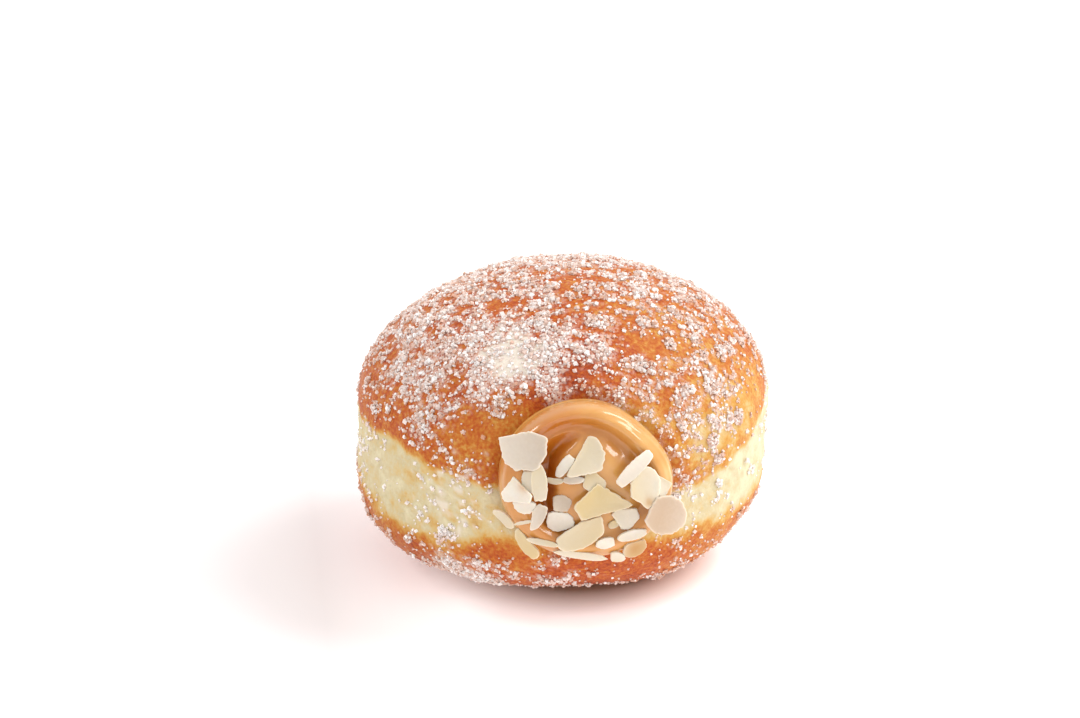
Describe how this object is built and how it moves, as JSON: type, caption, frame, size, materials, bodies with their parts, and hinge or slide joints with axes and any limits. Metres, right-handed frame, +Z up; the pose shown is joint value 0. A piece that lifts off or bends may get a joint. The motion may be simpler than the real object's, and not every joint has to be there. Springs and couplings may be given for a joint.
{
  "type": "caramel filled doughnut",
  "caption": "Sugar-coated filled doughnut standing on its base, with a swirl of caramel cream and flaked almonds coming out of its side.",
  "frame": {"origin": "middle of the small flat spot that the doughnut rests on, under its axis", "axes": "+Z up through the crown, -Y out of the hole in the side where the caramel swirl shows, +X to the right as seen from there"},
  "size_m": [0.092, 0.0999, 0.0656],
  "materials": {
    "dough": "fried yeast dough, orange-brown above and below a pale band, crusted with granulated sugar",
    "caramel": "smooth glossy caramel cream with matt cream-white almond flakes"
  },
  "bodies": {
    "root": {"sugared_dough": "dough", "caramel_with_almonds": "caramel"}
  },
  "joints": []
}
